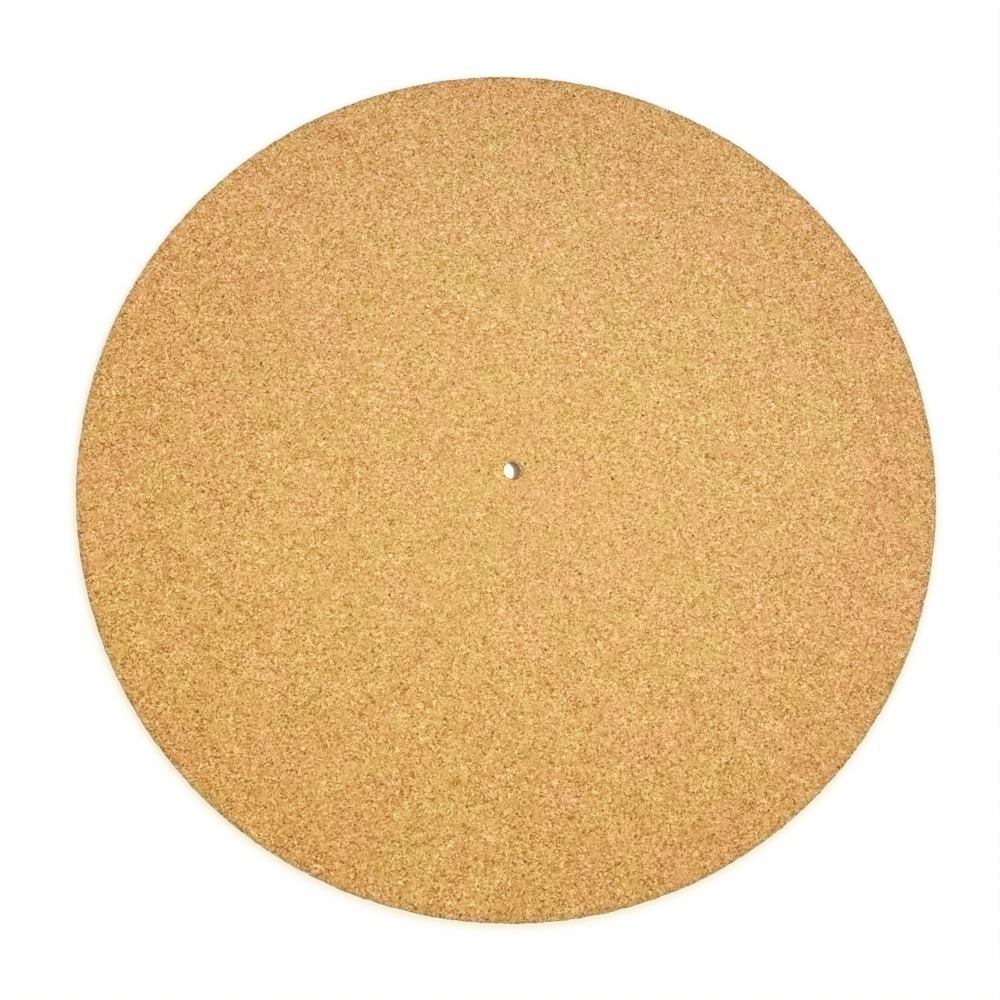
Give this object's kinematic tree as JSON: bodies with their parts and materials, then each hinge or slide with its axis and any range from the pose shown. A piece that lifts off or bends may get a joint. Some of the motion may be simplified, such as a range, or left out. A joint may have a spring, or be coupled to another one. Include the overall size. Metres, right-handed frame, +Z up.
{
  "type": "turntable platter mat",
  "caption": "Thin flat round mat of fine-grain agglomerated cork with a central spindle hole, laid on a turntable's platter under the record.",
  "frame": {"origin": "on the spindle's axis, at the underside that lies on the platter", "axes": "+Z up along the spindle's axis, out of the face that carries the record; X and Y lie in the mat and are equal by symmetry"},
  "size_m": [0.3, 0.3, 0.003],
  "materials": {
    "cork": "matt, fine-grain agglomerated cork, sliced and sanded"
  },
  "bodies": {
    "root": {"cork_mat": "cork"}
  },
  "joints": []
}
